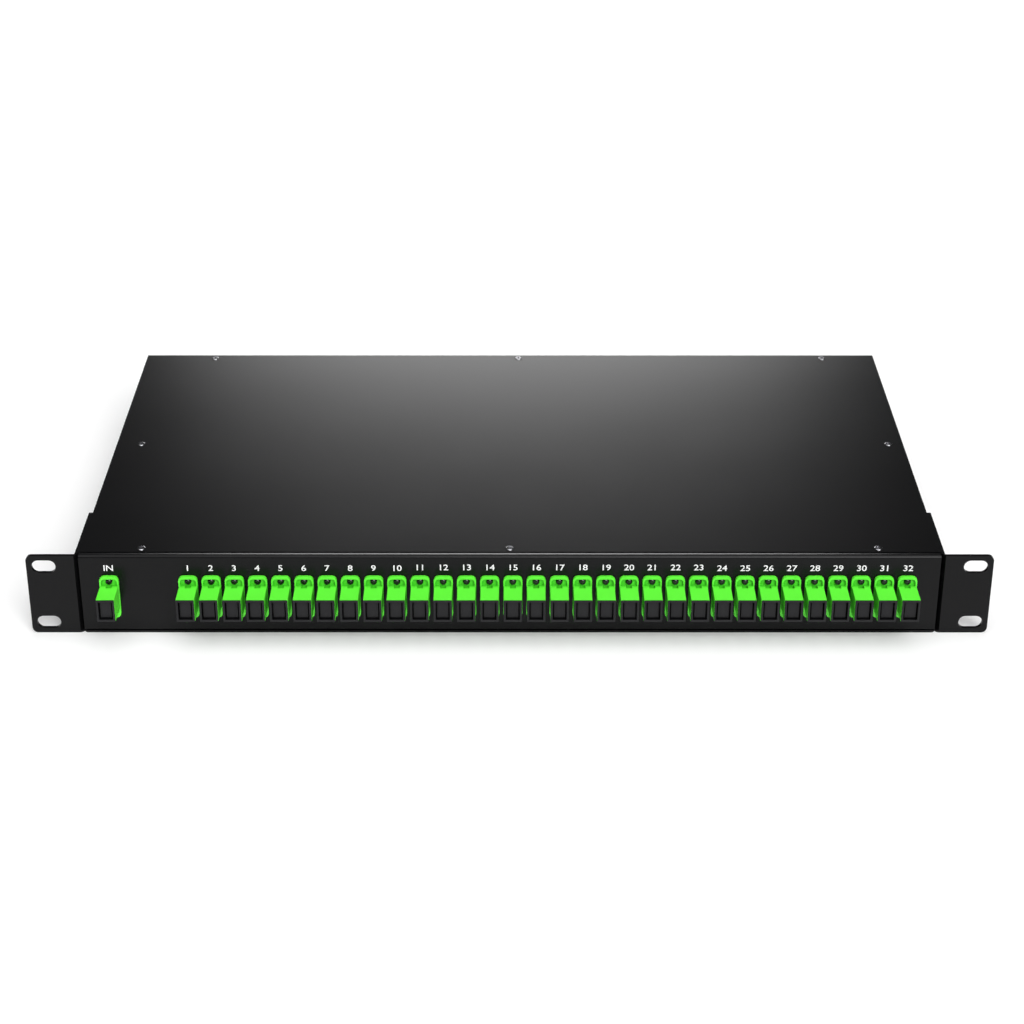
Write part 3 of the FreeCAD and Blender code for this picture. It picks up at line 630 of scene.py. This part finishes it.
def bare_aluminium():
    """Extruded aluminium, left bare: pale metal with a dull, slightly uneven gloss."""
    return finish(
        "extruded_aluminium",
        linear("#c8cacc"),
        rough=(0.32, 0.42),
        grain=0.5,
        cloud=12,
        bump=0.002,
        darker=0.95,
        lighter=1.0,
        Metallic=1.0,
    )


def black_rubber():
    """Moulded rubber of the module's boots: matt black."""
    return finish(
        "moulded_rubber",
        linear("#1b1b1b"),
        rough=(0.7, 0.8),
        grain=0.5,
        cloud=6,
        bump=0.004,
        IOR=1.52,
    )


def reel_plastic():
    """Moulded nylon of the reels: black with a fine grain."""
    return finish(
        "moulded_nylon",
        linear("#222224"),
        rough=(0.45, 0.55),
        grain=0.5,
        cloud=8,
        bump=0.003,
        IOR=1.53,
    )


def fibre_jacket():
    """Extruded jacket of the fibres: white, smooth, with a faint waviness along it."""
    return finish(
        "extruded_fibre_jacket",
        linear("#eceae4"),
        rough=(0.35, 0.45),
        grain=0.9,
        cloud=15,
        bump=0.002,
        darker=0.95,
        lighter=1.0,
    )


def white_ink():
    """Screen-printed epoxy ink: flat white, a little uneven where the coat's grain shows through."""
    return finish(
        "screen_printed_ink",
        colours().ink,
        rough=(0.5, 0.6),
        grain=0.7,
        cloud=6,
        bump=0.002,
        darker=0.93,
        lighter=1.0,
    )


def paper_sweep():
    """Matt white background paper with a barely visible unevenness, which shows as white where it is lit."""
    paper = finish(
        "background_paper",
        colours().floor,
        rough=(0.85, 0.95),
        grain=2,
        cloud=400,
        bump=0.002,
        darker=0.99,
        lighter=1.0,
    )
    tree = paper.node_tree
    ray = add_node(tree, "ShaderNodeLightPath")
    seen = ray.outputs["Is Camera Ray"]
    for kind in ("Is Glossy Ray", "Is Transmission Ray"):
        either = {0: seen, 1: ray.outputs[kind]}
        seen = add_node(tree, "ShaderNodeMath", either, operation="MAXIMUM").outputs["Value"]
    glow = add_node(tree, "ShaderNodeMath", {0: seen, 1: FLOOR_GLOW}, operation="MULTIPLY").outputs["Value"]
    shader = next(node for node in tree.nodes if node.type == "BSDF_PRINCIPLED")
    shader.inputs["Emission Color"].default_value = (1, 1, 1, 1)
    tree.links.new(glow, shader.inputs["Emission Strength"])
    return paper


# Pieces

def open_ear_groove(ears):
    """Steepens the outside of both ear folds, which leaves a dark groove beside the panel."""
    for side in (-1, 1):
        tool = block(
            "groove",
            mirrored(side, (EAR_FACE + 0.5, CHASSIS_SIDE - 0.1)),
            (PANEL_FACE - 0.5, PANEL_FACE + GROOVE_BACK),
            (GROOVE_FOOT, COVER_TOP + PAST),
        )

        def far_edge(first, second):
            return all(abs(end.x) > EAR_FACE and end.y > PANEL_FACE + 3 for end in (first, second))

        move_edges(tool, far_edge, x=-side * GROOVE_LEAN)
        cut(ears, tool)


def open_cover_seam(cover):
    """Trims the cover's front edge, which leaves a dark seam behind the panel's lip."""
    depth = (PANEL_FACE, LIP_BACK + SEAM_WIDTH)
    cut(cover, block("seam", across(500), depth, (COVER_TOP - 4, COVER_TOP + 2)))


def lean_top_lip(panel):
    """Lets the rear edge of the top lip fall by a hair, as a folded lip springs."""

    def lip_edge(first, second):
        return all(abs(end.y - LIP_BACK) < 0.1 and end.z > COVER_TOP - 0.1 for end in (first, second))

    move_edges(panel, lip_edge, z=-LIP_FALL)


SHEETS = {
    "base_tray": None,
    "front_panel": lean_top_lip,
    "top_cover": open_cover_seam,
    "rack_ears": open_ear_groove,
}


def make_folded_sheet(node, reshape):
    """A folded and coated sheet, its cut edges softened by the coat."""
    sheet = copy_of_node(node, f"{node}_coated")
    if reshape:
        reshape(sheet)
        clean(sheet, 0.5)
    round_edges(sheet, sizes().sheet_edge)
    return sheet


def port_places():
    """Every port's name and its place along the front, the input port first."""
    places = [("input", INPUT_PLACE)]
    for number in range(OUTPUT_PORTS):
        places.append((str(number + 1), FIRST_OUTPUT + number * PORT_PITCH))
    return places


def make_adapter():
    """One adapter about the middle of its port, with Y = 0 on the panel's face."""
    flange_front = -FLANGE_THICKNESS
    adapter = block("adapter", across(FLANGE_WIDTH), (flange_front, 0), FLANGE_REACH)
    bevel_edges(adapter, runs_back, sizes().flange_corner)

    def outer_corner(first, second):
        return runs_back(first, second) and min(abs(first.z), abs(second.z)) > 9

    for side in (-1, 1):
        depth = (flange_front - PAST, RECESS_FLOOR)
        recess = block("recess", across(RECESS_WIDTH), depth, mirrored(side, RECESS_REACH))
        bevel_edges(recess, outer_corner, RECESS_CORNER * MM)
        cut(adapter, recess)

    barrel = block("barrel", across(BARREL_WIDTH), (BARREL_FRONT, BARREL_BACK), across(BARREL_HEIGHT))
    boolean(adapter, barrel, "UNION")
    for side in (-1, 1):
        depth = (NOTCH_FRONT, RECESS_FLOOR)
        hole = (0, flange_front - PAST, side * SCREW_HOLE_RISE)
        cut(
            adapter,
            block("notch", across(NOTCH_WIDTH), depth, mirrored(side, NOTCH_REACH)),
            rod("screw_hole", HOLE_SIDES, SCREW_HOLE_RADIUS, hole, FLANGE_THICKNESS + 2 * PAST, "Y"),
        )
    inside = across(CAVITY_WIDTH)
    wall = WALL_BACK - WALL_FRONT
    cut(
        adapter,
        block("front_cavity", inside, (BARREL_FRONT - PAST, WALL_FRONT), across(FRONT_CAVITY_HEIGHT)),
        block("rear_cavity", inside, (WALL_BACK, BARREL_BACK + PAST), across(REAR_CAVITY_HEIGHT)),
        rod("bore", ROUND_SIDES, BORE_RADIUS, (0, WALL_FRONT - PAST, 0), wall + 2 * PAST, "Y"),
    )
    clean(adapter)
    round_edges(adapter, sizes().plastic_edge)
    return adapter


def make_dust_cap():
    """One dust cap: a front plate on a neck, with a pocket round a raised middle, and a plug for the port."""
    plate = (CAP_FRONT, CAP_FRONT + CAP_PLATE)
    cap = block("cap", across(BARREL_WIDTH), plate, across(BARREL_HEIGHT))
    pick_faces(cap, faces_back)
    push_picked(CAP_NECK, CAP_PLUG)
    pick_faces(cap, faces_front)
    push_picked(CAP_POCKET, CAP_RAISED_MIDDLE)
    round_edges(cap, sizes().plastic_edge)
    return cap


def make_screw(name, *, head, rise, dome, shank, reach):
    """A pan-head screw that points down, with a cross in its head. The head's seat is at the origin.

    head and shank are radii, rise and reach are how far the head stands up and the shank goes down, and dome
    is the rounding of the head.
    """
    screw = rod(name, ROUND_SIDES, head, (0, 0, 0), rise, "Z")
    bevel_edges(screw, lambda first, second: min(first.z, second.z) > rise - 0.01, dome * MM)
    floor = rise - min(sizes().screw_recess / MM, rise * CROSS_DEPTH)
    long, thin = head * CROSS_REACH, head * CROSS_WIDTH
    for x, y in ((long, thin), (thin, long)):
        cut(screw, block("cross", (-x, x), (-y, y), (floor, rise + PAST)))
    boolean(screw, rod("shank", SHANK_SIDES, shank, (0, 0, -reach), reach + 0.05, "Z"), "UNION")
    clean(screw)
    smooth(screw, 40)
    return screw


def make_sleeve():
    """The ceramic sleeve, its front half open and its rear half filled by a ferrule."""
    sleeve = rod("sleeve", ROUND_SIDES, SLEEVE_RADIUS, (0, SLEEVE_FRONT, 0), SLEEVE_LENGTH, "Y")
    pick_faces(sleeve, faces_front)
    push_picked((SLEEVE_WALL, SLEEVE_LENGTH / 2))
    smooth(sleeve)
    return sleeve


def make_label(text, place, foot):
    """One printed number on the panel, its foot at the given height."""
    deselect()
    bpy.ops.object.text_add()
    label = bpy.context.object
    label.data.body = text
    label.data.align_x = "CENTER"
    label.data.resolution_u = 4
    label.data.offset = NUMBER_BOLDNESS
    label.data.extrude = NUMBER_THICKNESS
    bpy.ops.object.convert(target="MESH")
    label = bpy.context.object
    factor = sizes().label_height / CAPITAL_HEIGHT
    label.scale = (factor * NUMBER_STRETCH, factor, factor)
    label.rotation_euler = (math.pi / 2, 0, 0)
    label.location = (place * MM, (PANEL_FACE - NUMBER_LIFT) * MM, foot * MM)
    return settle(label)


class SPLITTER_OT_sheet_metal(bpy.types.Operator):
    """Coat the tray, the front panel, the cover and the rack ears"""

    bl_idname = "splitter.sheet_metal"
    bl_label = "Sheet metal"

    def execute(self, context):
        coat = powder_coat()
        for node, reshape in SHEETS.items():
            dress(make_folded_sheet(node, reshape), coat, "black_powder_coat", node)
        return {"FINISHED"}


class SPLITTER_OT_adapters(bpy.types.Operator):
    """Mould the thirty-three green adapters"""

    bl_idname = "splitter.adapters"
    bl_label = "Adapters"

    def execute(self, context):
        plastic = green_plastic()
        adapter = make_adapter()
        groups = {"input_adapter": port_places()[:1]}
        outputs = port_places()[1:]
        for first in range(0, OUTPUT_PORTS, OUTPUTS_IN_GROUP):
            last = first + OUTPUTS_IN_GROUP
            groups[f"output_adapters_{first + 1}_to_{last}"] = outputs[first:last]
        for node, places in groups.items():
            copies = [copy_to(adapter, x, PANEL_FACE, PORT_HEIGHT) for _, x in places]
            dress(join(f"{node}_moulded", copies), plastic, "green_adapter_plastic", node)
        bpy.data.objects.remove(adapter)
        return {"FINISHED"}


class SPLITTER_OT_dust_caps(bpy.types.Operator):
    """Mould the thirty-three dust caps, each of which pulls out by itself"""

    bl_idname = "splitter.dust_caps"
    bl_label = "Dust caps"

    def execute(self, context):
        plastic = cap_plastic()
        cap = make_dust_cap()
        for name, x in port_places():
            node = "input_dust_cap" if name == "input" else f"output_dust_cap_{name}"
            made = copy_to(cap, x, PANEL_FACE, PORT_HEIGHT)
            made.name = f"{node}_moulded"
            dress(made, plastic, "black_cap_plastic", node, body=f"{node}_body")
        bpy.data.objects.remove(cap)
        return {"FINISHED"}


class SPLITTER_OT_adapter_screws(bpy.types.Operator):
    """Turn the screws into both ears of every adapter"""

    bl_idname = "splitter.adapter_screws"
    bl_label = "Adapter screws"

    def execute(self, context):
        screw = make_screw("adapter_screw", head=1.75, rise=1.75, dome=1.15, shank=0.95, reach=4.6)
        forward = (math.pi / 2, 0, 0)
        copies = []
        for _, x in port_places():
            for side in (-1, 1):
                height = PORT_HEIGHT + side * SCREW_HOLE_RISE
                copies.append(copy_to(screw, x, PANEL_FACE + RECESS_FLOOR, height, forward))
        steel = lacquered_screw_steel()
        dress(join("adapter_screws_turned", copies), steel, "black_screw_steel", "adapter_screws")
        bpy.data.objects.remove(screw)
        return {"FINISHED"}


class SPLITTER_OT_case_screws(bpy.types.Operator):
    """Turn the screws of the cover and of the rack ears"""

    bl_idname = "splitter.case_screws"
    bl_label = "Case screws"

    def execute(self, context):
        steel = passivated_screw_steel()
        screw = make_screw("cover_screw", head=2.3, rise=0.8, dome=0.7, shank=1.25, reach=4.0)
        copies = [copy_to(screw, x, y, COVER_TOP - COVER_SCREW_SINK) for x, y in COVER_SCREWS]
        dress(join("cover_screws_turned", copies), steel, "black_screw_steel", "cover_screws")
        bpy.data.objects.remove(screw)
        screw = make_screw("ear_screw", head=3.6, rise=2.0, dome=1.2, shank=1.95, reach=5.0)
        copies = []
        for side in (-1, 1):
            for y, z in EAR_SCREWS:
                copies.append(copy_to(screw, side * EAR_FACE, y, z, (0, side * math.pi / 2, 0)))
        dress(join("ear_screws_turned", copies), steel, "black_screw_steel", "ear_screws")
        bpy.data.objects.remove(screw)
        paint_node("floor_screws", steel)
        return {"FINISHED"}


class SPLITTER_OT_sleeves(bpy.types.Operator):
    """Set a ceramic sleeve in every port"""

    bl_idname = "splitter.sleeves"
    bl_label = "Sleeves"

    def execute(self, context):
        sleeve = make_sleeve()
        copies = [copy_to(sleeve, x, PANEL_FACE, PORT_HEIGHT) for _, x in port_places()]
        dress(join("alignment_sleeves_ground", copies), white_ceramic(), "white_ceramic", "alignment_sleeves")
        bpy.data.objects.remove(sleeve)
        return {"FINISHED"}


class SPLITTER_OT_inside(bpy.types.Operator):
    """Finish the pieces that lie inside the chassis"""

    bl_idname = "splitter.inside"
    bl_label = "Inside"

    def execute(self, context):
        paint_node("pigtail_connectors", connector_plastic())
        paint_node("splitter_module", bare_aluminium())
        paint_node("module_clamp", bpy.data.materials["powder_coated_steel"])
        paint_node("module_boots", black_rubber())
        plastic = reel_plastic()
        paint_node("fibre_reels", plastic)
        paint_node("fibre_clips", plastic)
        jacket = fibre_jacket()
        for node in ("fibre_tails", "output_fibre_bundle", "input_fibre"):
            paint_node(node, jacket)
        return {"FINISHED"}


class SPLITTER_OT_numbers(bpy.types.Operator):
    """Print IN and the numbers 1 to 32 above the ports"""

    bl_idname = "splitter.numbers"
    bl_label = "Port numbers"

    def execute(self, context):
        foot = sizes().label_base / MM
        labels = []
        for number, (name, x) in enumerate(port_places()):
            lower = number <= LAST_LOWER_AT_LEFT or number >= FIRST_LOWER_AT_RIGHT
            text = "IN" if name == "input" else name
            labels.append(make_label(text, x, foot - LOWER_NUMBERS_SLIP if lower else foot))
        dress(join("port_numbers_printed", labels), white_ink(), "white_fibre_plastic")
        return {"FINISHED"}


def soft_box(name, *, place, width, height, power):
    """An oval lamp at a place in millimetres, turned towards the middle of the floor."""
    deselect()
    bpy.ops.object.light_add(type="AREA", location=[value * MM for value in place])
    lamp = bpy.context.object
    lamp.name = name
    lamp.data.shape = "ELLIPSE"
    lamp.data.size = width * MM
    lamp.data.size_y = height * MM
    lamp.data.energy = power
    x, y, z = place
    lamp.rotation_euler = (math.atan2(math.hypot(x, y), z), 0, math.atan2(x, -y))
    lamp.visible_camera = False


def sky_lamp(name, *, tilt, turn, width, strength):
    """A wide soft light from far away, which lights the whole floor alike.

    tilt goes from overhead to the front, turn from the front to the right, and width is how much of the sky
    it fills, all in degrees.
    """
    deselect()
    bpy.ops.object.light_add(type="SUN", location=(0, 0, SUN_HEIGHT * MM))
    lamp = bpy.context.object
    lamp.name = name
    lamp.data.angle = math.radians(width)
    lamp.data.energy = strength
    lamp.rotation_euler = (math.radians(tilt), 0, math.radians(turn))


class SPLITTER_OT_studio(bpy.types.Operator):
    """Lay the floor, hang the lamps and set the camera"""

    bl_idname = "splitter.studio"
    bl_label = "Studio"

    def execute(self, context):
        deselect()
        bpy.ops.mesh.primitive_plane_add(size=FLOOR_SIZE * MM)
        floor = context.object
        floor.name = "paper_floor"
        floor.data.materials.append(paper_sweep())

        world = bpy.data.worlds.new("studio_room")
        world.use_nodes = True
        tree = world.node_tree
        tree.nodes.clear()
        room = add_node(tree, "ShaderNodeBackground", {"Color": (1, 1, 1, 1), "Strength": ROOM_LIGHT})
        add_node(tree, "ShaderNodeOutputWorld", {"Surface": room.outputs["Background"]})
        context.scene.world = world

        sky_lamp("ceiling_light", tilt=15, turn=0, width=75, strength=1.9)
        sky_lamp("front_light", tilt=55, turn=20, width=40, strength=2.2)
        soft_box("rear_box", place=(0, 2200, 640), width=1100, height=600, power=8.3)

        deselect()
        bpy.ops.object.camera_add(location=[value * MM for value in CAMERA_PLACE])
        camera = context.object
        camera.name = "photo_camera"
        camera.data.lens = CAMERA_LENS
        camera.data.sensor_width = CAMERA_SENSOR
        camera.rotation_euler = (math.radians(90 - CAMERA_DIP), 0, math.radians(CAMERA_TURN))
        context.scene.camera = camera
        context.scene.view_settings.view_transform = "Standard"
        return {"FINISHED"}


class SPLITTER_PT_pieces(bpy.types.Panel):
    """The splitter's pieces, sizes and colours"""

    bl_idname = "SPLITTER_PT_pieces"
    bl_label = "Rack Fibre Splitter"
    bl_space_type = "VIEW_3D"
    bl_region_type = "UI"
    bl_category = "Splitter"

    def draw(self, context):
        for group in (sizes(), colours()):
            for name in group.__annotations__:
                self.layout.prop(group, name)
        for operator in OPERATORS:
            self.layout.operator(operator.bl_idname)


OPERATORS = (
    SPLITTER_OT_studio,
    SPLITTER_OT_sheet_metal,
    SPLITTER_OT_adapters,
    SPLITTER_OT_dust_caps,
    SPLITTER_OT_adapter_screws,
    SPLITTER_OT_case_screws,
    SPLITTER_OT_sleeves,
    SPLITTER_OT_inside,
    SPLITTER_OT_numbers,
)
CLASSES = (SplitterColours, SplitterSizes, *OPERATORS, SPLITTER_PT_pieces)


def register():
    for item in CLASSES:
        bpy.utils.register_class(item)
    bpy.types.Scene.splitter_colours = bpy.props.PointerProperty(type=SplitterColours)
    bpy.types.Scene.splitter_sizes = bpy.props.PointerProperty(type=SplitterSizes)


def unregister():
    del bpy.types.Scene.splitter_sizes
    del bpy.types.Scene.splitter_colours
    for item in reversed(CLASSES):
        bpy.utils.unregister_class(item)


def main():
    register()
    for operator in OPERATORS:
        name = operator.bl_idname.split(".")[1]
        getattr(bpy.ops.splitter, name)()
    deselect()


if __name__ == "__main__":
    main()
